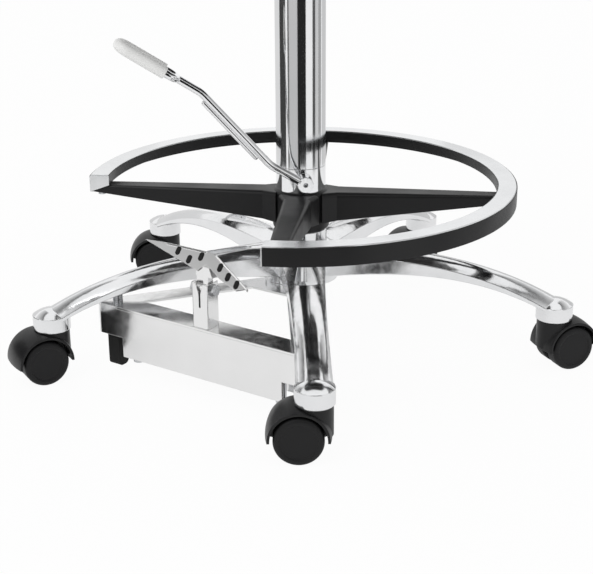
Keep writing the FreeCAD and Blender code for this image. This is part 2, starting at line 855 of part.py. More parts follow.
def foot_spider():
    hub = Part.makeCylinder(size.spider_hub_dia / 2, size.collar_bottom - size.spider_bottom,
                            Vector(0, 0, size.spider_bottom))
    rim = [edge for edge in hub.Edges if edge.BoundBox.ZLength < 0.01]
    hub = hub.makeFillet(size.spoke_round, rim)
    stations = ((size.spoke_root_r, size.spoke_root_width), (size.spoke_neck_r, size.spoke_neck_width),
                (spoke_reach, size.spoke_end_width))
    spoke = Part.makeLoft([spoke_section(reach, width) for reach, width in stations], True, True)
    pillar = Part.makeCylinder(size.ring_screw_dia, ring_under - size.spoke_top + size.spoke_end_depth / 2,
                               Vector(channel_mid, 0, size.spoke_top - size.spoke_end_depth / 2))
    hole = Part.makeCylinder(size.ring_screw_dia / 2 + size.seat_gap, size.ring_top,
                             Vector(channel_mid, 0, 0))
    arms, holes = [], []
    for index in range(SPOKE_COUNT):
        turn = about_z(size.spider_turn + index * 360 / SPOKE_COUNT).toMatrix()
        arms += [spoke.transformed(turn), pillar.transformed(turn)]
        holes.append(hole.transformed(turn))
    holes.append(Part.makeCylinder(bore_dia / 2, size.ring_top))
    return hub.fuse(arms).cut(holes).removeSplitter()


keep(shaped("spider", foot_spider()), "foot_spider")


def ring_profile():
    """Channel open below, with a deeper outer lip."""
    outer_low = size.ring_top - size.ring_outer_lip
    inner_low = size.ring_top - size.ring_inner_lip
    return [
        (ring_inner_r, ring_body_top),
        (ring_inner_r, inner_low),
        (ring_inner_r + size.ring_wall, inner_low),
        (ring_inner_r + size.ring_wall, ring_under),
        (channel_outer, ring_under),
        (channel_outer, outer_low),
        (size.ring_outer_r, outer_low),
        (size.ring_outer_r, ring_body_top),
    ]


keep(turned("ring", ring_profile(), angle=ring_span), "foot_ring", about_z(ring_start))
tread_inner, tread_outer = ring_inner_r + size.tread_margin, size.ring_outer_r - size.tread_margin
tread = turned("tread", [
    (tread_inner, ring_body_top),
    (tread_outer, ring_body_top),
    (tread_outer - size.tread_margin, size.ring_top),
    (tread_inner + size.tread_margin, size.ring_top),
], angle=ring_span)
keep(tread, "ring_tread", about_z(ring_start))


def ring_end(side):
    """Plate that closes one end of the channel, square to the ring."""
    low = size.ring_top - size.ring_outer_lip
    inner_low = size.ring_top - size.ring_inner_lip
    face = [Vector(ring_inner_r, 0, inner_low), Vector(size.ring_outer_r, 0, low),
            Vector(size.ring_outer_r, 0, ring_body_top), Vector(ring_inner_r, 0, ring_body_top)]
    plate_shape = prism(face, Vector(0, side * size.end_cap_thickness, 0))
    angle = ring_start if side < 0 else ring_start + ring_span
    return plate_shape.transformed(about_z(angle).toMatrix())


keep(shaped("end_caps", Part.makeCompound([ring_end(-1), ring_end(1)])), "ring_end_caps")


def ring_screw(index):
    head_r = size.ring_screw_dia * 0.9
    low = spoke_low(channel_mid - head_r) - size.seat_gap
    head = Part.makeCylinder(head_r, size.ring_screw_head, Vector(channel_mid, 0, low - size.ring_screw_head))
    shank = Part.makeCylinder(size.ring_screw_dia / 2, ring_under - low, Vector(channel_mid, 0, low))
    turn = about_z(size.spider_turn + index * 360 / SPOKE_COUNT)
    return head.fuse(shank).transformed(turn.toMatrix())


ring_screw_set = Part.makeCompound([ring_screw(index) for index in range(SPOKE_COUNT)])
keep(shaped("screws_ring", ring_screw_set), "ring_screws")

# Floor brake: x outward along the bisector of two legs, y along the bar
brake_frame = about_z(size.first_leg_angle - half_pitch)
bar_mid = size.bar_front - size.bar_width / 2
bar_top = size.bar_bottom + size.bar_height
arm_top = bar_top + size.arm_thickness
post_at = size.bar_front - size.post_setback - size.post_width / 2
pin_height = arm_top + size.post_height - size.pin_below_top
leg_out = Vector(math.cos(math.radians(half_pitch)), math.sin(math.radians(half_pitch)), 0)
leg_side = Vector(-leg_out.y, leg_out.x, 0)


def mirrored(points):
    """The points followed by their mirror images, walked back."""
    return points + [(x, -y) for x, y in reversed(points)]


def arm_plate():
    half = size.bar_length / 2
    inset = size.arm_outset - size.arm_width
    end_reach = (half - size.arm_outset * leg_side.y) / leg_out.y
    end = leg_out * end_reach + leg_side * size.arm_outset
    root = leg_out * size.arm_root_r + leg_side * size.arm_outset

    def inner_edge(x):
        reach = (x - inset * leg_side.x) / leg_out.x
        return reach * leg_out.y + inset * leg_side.y

    rear = size.bar_front - size.bar_width
    outer = mirrored([(size.bar_front, half - size.bar_round), (size.bar_front - size.bar_round, half),
                      (end.x, half), (root.x, root.y)])
    opening = mirrored([(rear, inner_edge(rear)), (size.arm_lug_end, inner_edge(size.arm_lug_end))])
    holes = [circle(post_at, size.post_along, size.push_rod_dia + 2)]
    for side in (-1, 1):
        holes.append(circle(spacer_end.x, side * spacer_end.y, size.frame_bolt_dia + 2 * size.seat_gap))
        holes.append(circle(hub_bolt[0], side * hub_bolt[1], size.frame_bolt_dia + 2 * size.seat_gap))
    return padded("arms", "XY_Plane", [outline(outer), outline(opening)] + holes, "arm_thickness",
                  "bar_bottom + bar_height")


spacer_end = leg_out * size.spacer_r
hub_bolt_r = (size.hub_dia + size.stand_dia) / 4
hub_bolt = (hub_bolt_r * math.cos(math.radians(22)), hub_bolt_r * math.sin(math.radians(22)))
keep(arm_plate(), "brake_arms", brake_frame)

bar_skin = padded("bar_skin", "XY_Plane", [
    rounded_rectangle(size.bar_width, size.bar_length, size.bar_round, (bar_mid, 0)),
    circle(post_at, size.post_along, size.push_rod_dia + 2),
    circle(spacer_end.x, spacer_end.y, size.frame_bolt_dia + 2 * size.seat_gap),
    circle(spacer_end.x, -spacer_end.y, size.frame_bolt_dia + 2 * size.seat_gap),
], "bar_height", "bar_bottom")
bar_hollow = padded("bar_hollow", "XY_Plane", [
    rounded_rectangle(size.bar_width - 2 * size.bar_wall, size.bar_length - 2 * size.bar_wall,
                      size.bar_round - size.bar_wall, (bar_mid, 0)),
], "bar_height - bar_wall", "bar_bottom")
notch_length = "bar_length / 2 - bar_notch_at + 1"
notches = [block(f"bar_notch_{index}", "bar_width + 2", notch_length, "bar_notch_top - bar_bottom + 1",
                 (bar_mid, f"{side} * (bar_notch_at + ({notch_length}) / 2)", "bar_bottom - 1"))
           for index, side in enumerate((-1, 1))]
keep(cut("bar", bar_skin, bar_hollow, *notches), "brake_bar", brake_frame)


def spacer_top():
    """Height of the hollow's roof above the spacer's outer edge."""
    share = (size.spacer_r + size.spacer_dia / 2 - size.leg_root_r) / (size.caster_circle_r - size.leg_root_r)
    _, half, crest, _, crown = leg_station(share)
    edge = size.spacer_dia / 2 / (half - size.leg_wall)
    return crest - size.leg_wall - crown * edge ** 2 - size.running_gap


spacers = []
frame_bolts = []
spacer_height = spacer_top() - arm_top
for index, side in enumerate((-1, 1)):
    corner = (spacer_end.x, side * spacer_end.y)
    spacers.append(cut(f"spacer_{index}",
                       cylinder(f"spacer_body_{index}", "spacer_dia", spacer_height, (*corner, arm_top)),
                       cylinder(f"spacer_bore_{index}", "frame_bolt_dia + 2 * seat_gap", spacer_height,
                                (*corner, arm_top))))
    hub_end = (hub_bolt[0], side * hub_bolt[1])
    for name, at, low, high in ((f"corner_{index}", corner, bar_top - size.bar_wall, spacer_top()),
                                (f"hub_{index}", hub_end, bar_top, arm_top)):
        shank = cylinder(f"{name}_shank", "frame_bolt_dia", high - low, (*at, low))
        head = hexagon(f"{name}_head", "frame_bolt_dia * 1.5", "frame_bolt_dia / 2",
                       (*at, f"{low} - frame_bolt_dia / 2"))
        frame_bolts.append(fused(f"{name}_bolt", shank, head))
keep(grouped("spacer_set", *spacers), "frame_spacers", brake_frame)
keep(grouped("bolt_set", *frame_bolts), "frame_bolts", brake_frame)

post_inner = size.post_width - 2 * size.post_wall
post_tube = padded("post_tube", "XY_Plane", [
    rounded_rectangle(size.post_width, size.post_width, size.post_wall, (post_at, size.post_along)),
    rounded_rectangle(post_inner, post_inner, size.post_wall / 2, (post_at, size.post_along)),
], "post_height", "bar_bottom + bar_height + arm_thickness")
post_top = arm_top + size.post_height
pin_bore = cylinder("pin_bore", "pin_dia + 2 * seat_gap", "post_width + 2",
                    (post_at, "post_along - post_width / 2 - 1", pin_height), ALONG_Y)
front_wall = post_at + size.post_width / 2 - size.post_wall / 2
rear_wall = post_at - size.post_width / 2 + size.post_wall / 2
slit = block("slit", "post_wall * 2", "slit_width", "slit_depth + 1",
             (front_wall, "post_along", f"{post_top} - slit_depth"))
rear_gate = block("rear_gate", "post_wall * 2", post_inner, "pin_below_top + pin_dia",
                  (rear_wall, "post_along", pin_height - size.pin_dia / 2))
funnel_rear = post_at + size.post_width / 4
funnel_foot = post_top - size.funnel_depth
funnel = shaped("funnel", prism([
    Vector(funnel_rear, size.post_along - size.funnel_width / 2, post_top + 0.1),
    Vector(funnel_rear, size.post_along + size.funnel_width / 2, post_top + 0.1),
    Vector(funnel_rear, size.post_along + size.slit_width / 2, funnel_foot),
    Vector(funnel_rear, size.post_along - size.slit_width / 2, funnel_foot),
], Vector(size.post_width, 0, 0)))
keep(cut("post", post_tube, pin_bore, slit, rear_gate, funnel), "brake_post", brake_frame)

# Pedal pin with a head at one end and a nut at the other
pin_shank = cylinder("pin_shank", "pin_dia", "post_width + 2 * pin_head",
                     (post_at, "post_along - post_width / 2 - pin_head", pin_height), ALONG_Y)
pin_head = hexagon("pin_head_cap", "pin_head_dia", "pin_head",
                   (post_at, "post_along + post_width / 2", pin_height), ALONG_Y)
pin_nut = hexagon("pin_nut", "pin_head_dia", "pin_head",
                  (post_at, "post_along - post_width / 2 - pin_head", pin_height), ALONG_Y)
keep(fused("pin", pin_shank, pin_head, pin_nut), "pedal_pin", brake_frame)

# Pedal: a banked sheet with a ridge, folded back along its upper edge, on a tongue in the post
bank = math.radians(size.pedal_bank)
pedal_origin = Vector(post_at, size.post_along, pin_height + size.pedal_rise)
down_slope = Vector(math.cos(bank), 0, -math.sin(bank))
face_normal = Vector(math.sin(bank), 0, math.cos(bank))
fold_slope = Vector(-math.cos(bank), 0, -math.sin(bank))
pedal_eye_dia = post_inner - 3 * size.running_gap


def on_face(along, down):
    return pedal_origin + Vector(0, along, 0) + down_slope * down


left_tip = on_face(-size.pedal_left, -size.pedal_tip_top)
ridge_left = on_face(-size.pedal_left * 0.64, -size.pedal_top)
ridge_mid = on_face(0, -size.pedal_top)
ridge_right = on_face(size.pedal_ridge, -size.pedal_tip_top)
right_tip = on_face(size.pedal_right, size.pedal_right_drop)
right_low = on_face(size.pedal_right * 0.8, size.pedal_right_low)
notch_right = on_face(size.pedal_right * 0.44, size.pedal_right_low * 0.69)
notch_top = on_face(size.pedal_notch, size.pedal_notch)
notch_left = on_face(-size.pedal_notch * 0.7, size.pedal_left_low)


def grip_places():
    """Middle of each slot on the pedal's face: three on each wing."""
    left = [(share * -size.pedal_left, drop * size.pedal_left_low)
            for share, drop in ((0.43, -0.24), (0.22, 0.25), (0.06, -0.18))]
    right = [(share * size.pedal_right, drop * size.pedal_right_low)
             for share, drop in ((0.36, 0.19), (0.57, 0.51), (0.78, 0.75))]
    return left + right


def grip(place, depth, margin=0.0):
    """Oblong plug down the slope of the face; a margin makes the slot that it sits in."""
    along, down = place
    half = size.grip_width / 2 + margin
    reach = size.grip_length / 2 - size.grip_width / 2
    top, low = on_face(along, down - reach), on_face(along, down + reach)
    across = Vector(0, half, 0)
    return prism([top - across, (top + across, top - down_slope * half), low + across,
                  (low - across, low + down_slope * half)], face_normal * depth)


def tongue():
    """Stem in the post with an eye on the pin, widening to a gusset under the face."""
    half = post_inner / 2 - 1.4 * size.running_gap
    flare = size.gusset_from
    peak = size.pedal_rise + size.tongue_thickness
    lip = flare - size.seat_gap
    right = [(half, 0), (half, lip), (size.gusset_right, flare), (size.gusset_top, peak)]
    left = [(-size.gusset_top, peak), (-size.gusset_left, flare), (-half, lip), (-half, 0)]
    points = [Vector(post_at - size.tongue_thickness / 2, size.post_along + y, pin_height + z)
              for y, z in right + left]
    reach = size.pedal_left
    corners = [on_face(-reach, -reach), on_face(reach, -reach), on_face(reach, reach), on_face(-reach, reach)]
    above = prism(corners, face_normal * reach).translated(face_normal * -size.pedal_sheet / 2)
    eye_foot = Vector(post_at, size.post_along - half, pin_height)
    eye = Part.makeCylinder(pedal_eye_dia / 2, 2 * half, eye_foot, Vector(0, 1, 0))
    return prism(points, Vector(size.tongue_thickness, 0, 0)).cut(above).fuse(eye)


def brake_pedal():
    sheet_in = face_normal * -size.pedal_sheet
    wing_points = [left_tip, ridge_left, ridge_mid, ridge_right, right_tip, right_low, notch_right, notch_top,
                   notch_left]
    face = prism(wing_points, sheet_in)
    flange_low = fold_slope * size.pedal_flange
    folds = []
    for first, last in ((ridge_left, ridge_mid), (ridge_right, right_tip)):
        taper = 0.35
        folds.append(prism([first, last, last + flange_low * (1 if last is ridge_mid else taper),
                            first + flange_low * (taper if first is ridge_left else 1)],
                           Vector(math.sin(bank), 0, -math.cos(bank)) * size.pedal_sheet))
    slots = [grip(place, 3 * size.pedal_sheet, size.seat_gap).translated(face_normal * -2 * size.pedal_sheet)
             for place in grip_places()]
    bore_foot = Vector(post_at, size.post_along - size.post_width / 2, pin_height)
    bore = Part.makeCylinder(size.pin_dia / 2 + size.running_gap, size.post_width, bore_foot, Vector(0, 1, 0))
    return face.fuse(folds + [tongue()]).cut(slots + [bore]).removeSplitter()


def pedal_grips():
    depth = size.pedal_sheet + size.grip_proud
    plugs = [grip(place, depth).translated(face_normal * -size.pedal_sheet) for place in grip_places()]
    return Part.makeCompound(plugs)


keep(shaped("pedal", brake_pedal()), "brake_pedal", brake_frame)
keep(shaped("grips", pedal_grips()), "pedal_grips", brake_frame)

# Brake carriage: push rod under the pedal, beam in the bar, rubber feet at its ends, guided by two bolts
beam_top = size.beam_bottom + size.beam_height
rod_head = pin_height - pedal_eye_dia / 2 - size.running_gap
keep(grouped("rod_set", cylinder("push_bar", "push_rod_dia", f"{rod_head} - ({beam_top})",
                                 (post_at, "post_along", beam_top))), "push_rod", brake_frame)
beam_bar = block("beam_bar", "beam_width", "beam_length", "beam_height", (bar_mid, 0, "beam_bottom"))
beam_holes, guides, springs, feet = [], [], [], []
for index, side in enumerate((-1, 1)):
    at = (bar_mid, f"{side} * guide_along")
    beam_holes.append(cylinder(f"beam_hole_{index}", "guide_dia + 2 * running_gap", "beam_height",
                               (*at, "beam_bottom")))
    shank = cylinder(f"guide_shank_{index}", "guide_dia", f"{bar_top} - bar_wall - guide_head_bottom",
                     (*at, "guide_head_bottom"))
    head = cylinder(f"guide_head_{index}", "guide_head_dia", "guide_head", (*at, "guide_head_bottom"))
    guides.append(fused(f"guide_{index}", shank, head))
    spring_foot = "guide_head_bottom + guide_head + running_gap"
    spring_height = f"beam_bottom - running_gap - ({spring_foot})"
    springs.append(cut(f"spring_{index}",
                       cylinder(f"spring_outer_{index}", "spring_dia", spring_height, (*at, spring_foot)),
                       cylinder(f"spring_bore_{index}", "guide_dia + 2 * running_gap", spring_height,
                                (*at, spring_foot))))
    foot = padded(f"foot_{index}", "XZ_Plane", [outline([
        (bar_mid - size.foot_depth / 2, size.beam_bottom),
        (bar_mid - size.foot_depth / 2, size.foot_clear + size.foot_round),
        (bar_mid - size.foot_depth / 2 + size.foot_round, size.foot_clear,
         bar_mid - size.foot_depth / 2 + size.foot_round * quarter,
         size.foot_clear + size.foot_round * quarter),
        (bar_mid + size.foot_depth / 2 - size.foot_round, size.foot_clear),
        (bar_mid + size.foot_depth / 2, size.foot_clear + size.foot_round,
         bar_mid + size.foot_depth / 2 - size.foot_round * quarter,
         size.foot_clear + size.foot_round * quarter),
        (bar_mid + size.foot_depth / 2, size.beam_bottom),
    ])], "foot_length", f"{-side} * foot_along", True)
    feet.append(foot)
keep(cut("beam", beam_bar, *beam_holes), "brake_beam", brake_frame)
keep(grouped("feet_set", *feet), "brake_feet", brake_frame)
keep(grouped("guide_set", *guides), "guide_bolts", brake_frame)
keep(grouped("spring_set", *springs), "return_springs", brake_frame)

# Seat: plate with a socket on the lift, pan and upholstered cushion
plate_top = size.lift_top + size.seat_plate_height
pan_top = plate_top + size.pan_height
seat_flat = block("seat_flat", "seat_plate_length", "seat_plate_width", "seat_plate_height",
                  (0, 0, "lift_top"))
socket_foot = (0, 0, "lift_top - socket_depth")
socket_wall = cylinder("socket_wall", "socket_dia", "socket_depth", socket_foot)
socket_bore = cylinder("socket_bore", "lift_dia + 2 * seat_gap", "socket_depth", socket_foot)
screw_x = "seat_plate_length / 2 - seat_screw_inset"
screw_y = "seat_plate_width / 2 - seat_screw_inset"
plate_holes, pan_holes, seat_screws = [], [], []
for index, (sign_x, sign_y) in enumerate(((1, 1), (-1, 1), (-1, -1), (1, -1))):
    at = (f"{sign_x} * ({screw_x})", f"{sign_y} * ({screw_y})")
    hole_dia = "seat_screw_dia + 2 * seat_gap"
    reach = "seat_plate_height + pan_height - 2"
    plate_holes.append(cylinder(f"plate_hole_{index}", hole_dia, "seat_plate_height", (*at, "lift_top")))
    pan_holes.append(cylinder(f"pan_hole_{index}", hole_dia, "pan_height - 2", (*at, f"{plate_top}")))
    shank = cylinder(f"seat_shank_{index}", "seat_screw_dia", reach, (*at, "lift_top"))
    head = cylinder(f"seat_head_{index}", "seat_screw_dia * 1.8", "seat_screw_head",
                    (*at, "lift_top - seat_screw_head"))
    seat_screws.append(fused(f"seat_screw_{index}", shank, head))
seat_steel = fused("seat_steel", seat_flat, socket_wall)
keep(cut("seat_carrier", seat_steel, socket_bore, *plate_holes), "seat_plate")
pan_board = padded("pan_board", "XY_Plane", [
    rounded_rectangle(size.pan_width, size.pan_depth, size.pan_round),
], "pan_height", "lift_top + seat_plate_height")
keep(cut("pan", pan_board, *pan_holes), "seat_pan")
keep(grouped("seat_screw_set", *seat_screws), "seat_screws")


def pillow_outline(length, width, radius, draw):
    """Round-cornered outline whose four sides are drawn in between the corners."""
    points = []
    half_x, half_y = length / 2, width / 2
    diagonal = radius * math.sqrt(0.5)
    corners = ((1, 1), (-1, 1), (-1, -1), (1, -1))
    for index, (sign_x, sign_y) in enumerate(corners):
        centre_x, centre_y = sign_x * (half_x - radius), sign_y * (half_y - radius)
        side_x = (sign_x * half_x, centre_y)
        side_y = (centre_x, sign_y * half_y)
        first, last = (side_x, side_y) if index % 2 == 0 else (side_y, side_x)
        via_side = (sign_x * (half_x - draw), 0) if index % 2 == 0 else (0, sign_y * (half_y - draw))
        points.append((*first, *via_side))
        points.append((*last, centre_x + sign_x * diagonal, centre_y + sign_y * diagonal))
    return points


def cushion(length, width, radius, height, overhang, draw, dome):
    """Pad with bulging sides, a seam line and a domed crown; its foot is at z = 0."""
    seam = 0.56
    levels = [(0, 0), (seam * 0.36, overhang), (seam * 0.75, overhang), (seam, 0)]
    for share in (0.1, 0.25, 0.45, 0.7, 1):
        levels.append((seam + (1 - seam) * (1 - (1 - share) ** 2.2), -dome * share))
    sections = []
    for share, spread in levels:
        flat_length, flat_width = length + 2 * spread, width + 2 * spread
        shrink = min(flat_length / length, flat_width / width)
        flat = pillow_outline(flat_length, flat_width, radius * shrink, draw * shrink)
        lifted = [Vector(point[0], point[1], share * height) for point in flat]
        vias = [Vector(point[2], point[3], share * height) for point in flat]
        sections.append(wire(list(zip(lifted, vias))))
    return Part.makeLoft(sections, True)


keep(shaped("cushion", cushion(size.pan_width, size.pan_depth, size.pan_round, size.cushion_height,
                               size.cushion_overhang, size.cushion_draw, size.cushion_dome)),
     "seat_cushion", Placement(Vector(0, 0, pan_top), Rotation()))

# Backrest: bent bar from under the seat plate, pivot pin, carrier and cushion
bar_low = size.lift_top - size.back_bar_thickness
bar_rear_face = size.back_bar_rear
bar_front_face = bar_rear_face - size.back_bar_thickness
bend_outer = size.back_bar_bend
bend_inner = bend_outer - size.back_bar_thickness
pivot_y = bar_rear_face - size.back_bar_thickness / 2
bar_head = size.back_pivot_height + size.back_pin_dia
back_bar_body = padded("back_bar_body", "YZ_Plane", [outline([
    (size.socket_dia / 2 + size.back_bar_front, size.lift_top),
    (size.socket_dia / 2 + size.back_bar_front, bar_low),
    (bar_rear_face - bend_outer, bar_low),
    (bar_rear_face, bar_low + bend_outer,
     bar_rear_face - bend_outer * quarter, bar_low + bend_outer * quarter),
    (bar_rear_face, bar_head),
    (bar_front_face, bar_head),
    (bar_front_face, bar_low + bend_outer),
    (bar_rear_face - bend_outer, size.lift_top,
     bar_front_face - bend_inner * quarter, size.lift_top + bend_inner * quarter),
])], "back_bar_width", 0, True)
eye = cylinder("back_eye", "back_pin_dia * 2", "back_bar_width",
               ("-back_bar_width / 2", pivot_y, "back_pivot_height"), ALONG_X)
eye_bore = cylinder("back_eye_bore", "back_pin_dia + 2 * seat_gap", "back_bar_width",
                    ("-back_bar_width / 2", pivot_y, "back_pivot_height"), ALONG_X)
keep(cut("back_support", fused("back_steel", back_bar_body, eye), eye_bore), "back_bar")
pin_length = "back_bar_width + 2 * running_gap + 2 * back_lug_thickness"
back_pin_bar = cylinder("back_pin_bar", "back_pin_dia", pin_length,
                        (f"-({pin_length}) / 2", pivot_y, "back_pivot_height"), ALONG_X)
keep(grouped("back_pin_set", back_pin_bar), "back_pin")

carrier_rear = bar_front_face - size.carrier_gap
carrier_front = carrier_rear - size.carrier_thickness
carrier_mid = size.carrier_bottom + size.carrier_height / 2
carrier_board = padded("carrier_board", "XZ_Plane", [
    rounded_rectangle(size.carrier_width, size.carrier_height, size.carrier_round, (0, carrier_mid)),
], "carrier_thickness", f"-({carrier_rear})")
lugs = []
lug_bores = []
for index, side in enumerate((-1, 1)):
    lug_mid = f"{side} * (back_bar_width / 2 + running_gap + back_lug_thickness / 2)"
    lug_reach = pivot_y - carrier_rear
    lugs.append(block(f"lug_{index}", "back_lug_thickness", lug_reach, "back_pin_dia * 2.4",
                      (lug_mid, carrier_rear + lug_reach / 2, "back_pivot_height - back_pin_dia * 1.2")))
    eye_at = (f"{lug_mid} - back_lug_thickness / 2", pivot_y, "back_pivot_height")
    lugs.append(cylinder(f"lug_eye_{index}", "back_pin_dia * 2.4", "back_lug_thickness", eye_at, ALONG_X))
    lug_bores.append(cylinder(f"lug_bore_{index}", "back_pin_dia + 2 * running_gap", "back_lug_thickness",
                              eye_at, ALONG_X))
keep(cut("carrier", fused("carrier_steel", carrier_board, *lugs), *lug_bores), "back_carrier")
back_place = Placement(Vector(0, carrier_front, size.back_bottom + size.back_height / 2),
                       Rotation(Vector(1, 0, 0), 90))
keep(shaped("back_pad", cushion(size.back_width, size.back_height, size.back_round, size.back_thickness,
                                size.back_overhang, size.cushion_draw, size.back_dome)),
     "back_cushion", back_place)

# Check every object and write each sub-part
doc.recompute()
for obj in doc.Objects:
    if {"Invalid", "Error"} & set(obj.State):
        raise RuntimeError(f"{obj.Name} failed: {obj.State}")
for obj in sub_parts:
    if obj.Shape.isNull() or not obj.Shape.isValid() or not obj.Shape.Solids:
        raise RuntimeError(f"{obj.Label} has no valid solid")
os.makedirs("parts", exist_ok=True)
for obj in sub_parts:
    obj.Shape.exportStep(f"parts/{obj.Label}.step")
    print(obj.Label, len(obj.Shape.Solids), round(obj.Shape.Volume))
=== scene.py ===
"""Studio scene of a surgeon chair: finishes, upholstery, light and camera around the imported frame."""
import json
import math

import bpy
from mathutils import Matrix, Vector
from mathutils.bvhtree import BVHTree


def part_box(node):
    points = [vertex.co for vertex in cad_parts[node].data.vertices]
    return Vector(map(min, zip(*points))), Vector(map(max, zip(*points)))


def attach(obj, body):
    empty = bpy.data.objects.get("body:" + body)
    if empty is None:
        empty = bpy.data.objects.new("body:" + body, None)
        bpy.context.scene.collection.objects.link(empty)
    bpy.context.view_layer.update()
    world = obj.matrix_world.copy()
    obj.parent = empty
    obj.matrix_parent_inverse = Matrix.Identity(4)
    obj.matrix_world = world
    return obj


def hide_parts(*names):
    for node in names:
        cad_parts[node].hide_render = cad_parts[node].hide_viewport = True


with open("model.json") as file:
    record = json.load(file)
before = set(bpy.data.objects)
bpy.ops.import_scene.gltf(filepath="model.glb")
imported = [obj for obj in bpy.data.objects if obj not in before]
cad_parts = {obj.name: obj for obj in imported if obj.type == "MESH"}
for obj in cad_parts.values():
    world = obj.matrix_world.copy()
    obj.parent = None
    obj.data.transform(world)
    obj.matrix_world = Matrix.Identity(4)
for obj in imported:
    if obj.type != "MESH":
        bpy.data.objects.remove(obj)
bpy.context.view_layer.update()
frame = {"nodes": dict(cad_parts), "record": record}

nodes = frame["nodes"]
scene = bpy.context.scene
scene.view_settings.view_transform = "Standard"

# Camera: the photograph's width, focal length and middle in pixels, the sensor in mm, places in metres
IMAGE_WIDTH = 593
FOCAL_PIXELS = 1292.0
MIDDLE_PIXEL = 301.4
SENSOR = 36.0
CAMERA_AT = Vector((0.0, -1.4027, 0.599))
CAMERA_DOWN = math.radians(20.835)
CAMERA_ROLL = math.radians(-0.25)
CLIP_START = 0.01
CLIP_END = 50


def add_object(name, data):
    thing = bpy.data.objects.new(name, data)
    scene.collection.objects.link(thing)
    return thing


def make_camera():
    data = bpy.data.cameras.new("photo_camera")
    data.sensor_width = SENSOR
    data.lens = SENSOR * FOCAL_PIXELS / IMAGE_WIDTH
    data.shift_x = 0.5 - MIDDLE_PIXEL / IMAGE_WIDTH
    data.clip_start = CLIP_START
    data.clip_end = CLIP_END
    camera = add_object("photo_camera", data)
    look = Matrix.Rotation(math.pi / 2 - CAMERA_DOWN, 4, "X") @ Matrix.Rotation(CAMERA_ROLL, 4, "Z")
    camera.matrix_world = Matrix.Translation(CAMERA_AT) @ look
    scene.camera = camera


class Finish:
    """One procedural material: a shader whose sockets take constants or patterns in the part's own space."""

    # The colour sockets of a Mix node
    MIX_FIRST = 6
    MIX_SECOND = 7
    MIX_RESULT = 2

    # The edge mask, for paler edges that are partly wear and partly a painted highlight: how far the normal
    # has turned where it begins and where it is full
    EDGE_START = 0.02
    EDGE_FULL = 0.25
    EDGE_SAMPLES = 4
    NORMAL_SAMPLES = 6

    def __init__(self, name, **constants):
        self.material = bpy.data.materials.new(name)
        self.material.use_nodes = True
        self.tree = self.material.node_tree
        self.shader = self.tree.nodes["Principled BSDF"]
        for socket, value in constants.items():
            self.shader.inputs[socket.replace("_", " ")].default_value = value
        self.space = self.add("ShaderNodeTexCoord").outputs["Object"]
        self.normal = None

    def add(self, kind, **settings):
        node = self.tree.nodes.new(kind)
        for key, value in settings.items():
            setattr(node, key, value)
        return node

    def feed(self, source, target):
        self.tree.links.new(source, target)

    def stretched(self, stretch):
        mapping = self.add("ShaderNodeMapping")
        mapping.inputs["Scale"].default_value = stretch
        self.feed(self.space, mapping.inputs["Vector"])
        return mapping.outputs["Vector"]

    def noise(self, scale, detail, stretch=(1, 1, 1)):
        pattern = self.add("ShaderNodeTexNoise")
        pattern.inputs["Scale"].default_value = scale
        pattern.inputs["Detail"].default_value = detail
        self.feed(self.stretched(stretch), pattern.inputs["Vector"])
        return pattern.outputs["Fac"]

    def cells(self, scale):
        """None on the borders of small cells, more towards their middles."""
        pattern = self.add("ShaderNodeTexVoronoi", feature="DISTANCE_TO_EDGE")
        pattern.inputs["Scale"].default_value = scale
        self.feed(self.space, pattern.inputs["Vector"])
        return pattern.outputs["Distance"]

    def ranged(self, source, low=0, high=1, start=0.3, end=0.7):
        """The source's values from start to end, spread from low to high."""
        node = self.add("ShaderNodeMapRange")
        for socket, value in (("From Min", start), ("From Max", end), ("To Min", low), ("To Max", high)):
            node.inputs[socket].default_value = value
        self.feed(source, node.inputs["Value"])
        return node.outputs["Result"]

    def mixed(self, share, first, second):
        """A blend of two colours, each a constant or a pattern."""
        node = self.add("ShaderNodeMix", data_type="RGBA")
        for socket, value in ((self.MIX_FIRST, first), (self.MIX_SECOND, second)):
            if isinstance(value, tuple):
                node.inputs[socket].default_value = (*value, 1.0)
            else:
                self.feed(value, node.inputs[socket])
        self.feed(share, node.inputs["Factor"])
        return node.outputs[self.MIX_RESULT]

    def combined(self, operation, first, second):
        node = self.add("ShaderNodeMath", operation=operation)
        self.feed(first, node.inputs[0])
        self.feed(second, node.inputs[1])
        return node.outputs[0]

    def edges(self, radius):
        """One along the convex and concave edges of the shape, none on its flats."""
        rounded = self.add("ShaderNodeBevel", samples=self.EDGE_SAMPLES)
        rounded.inputs["Radius"].default_value = radius
        plain = self.add("ShaderNodeNewGeometry").outputs["Normal"]
        facing = self.add("ShaderNodeVectorMath", operation="DOT_PRODUCT")
        self.feed(rounded.outputs["Normal"], facing.inputs[0])
        self.feed(plain, facing.inputs[1])
        return self.ranged(facing.outputs["Value"], 1.0, 0.0, 1 - self.EDGE_FULL, 1 - self.EDGE_START)

    def round_edges(self, radius):
        rounded = self.add("ShaderNodeBevel", samples=self.NORMAL_SAMPLES)
        rounded.inputs["Radius"].default_value = radius
        self.normal = rounded.outputs["Normal"]
        self.feed(self.normal, self.shader.inputs["Normal"])

    def bump(self, height, strength, distance):
        """Relief on top of the normal so far."""
        node = self.add("ShaderNodeBump")
        node.inputs["Strength"].default_value = strength
        node.inputs["Distance"].default_value = distance
        self.feed(height, node.inputs["Height"])
        if self.normal is not None:
            self.feed(self.normal, node.inputs["Normal"])
        self.normal = node.outputs["Normal"]
        self.feed(self.normal, self.shader.inputs["Normal"])

    def colour(self, source):
        self.feed(source, self.shader.inputs["Base Color"])

    def roughness(self, source):
        self.feed(source, self.shader.inputs["Roughness"])


def brighter(colour, factor):
    return tuple(factor * channel for channel in colour)


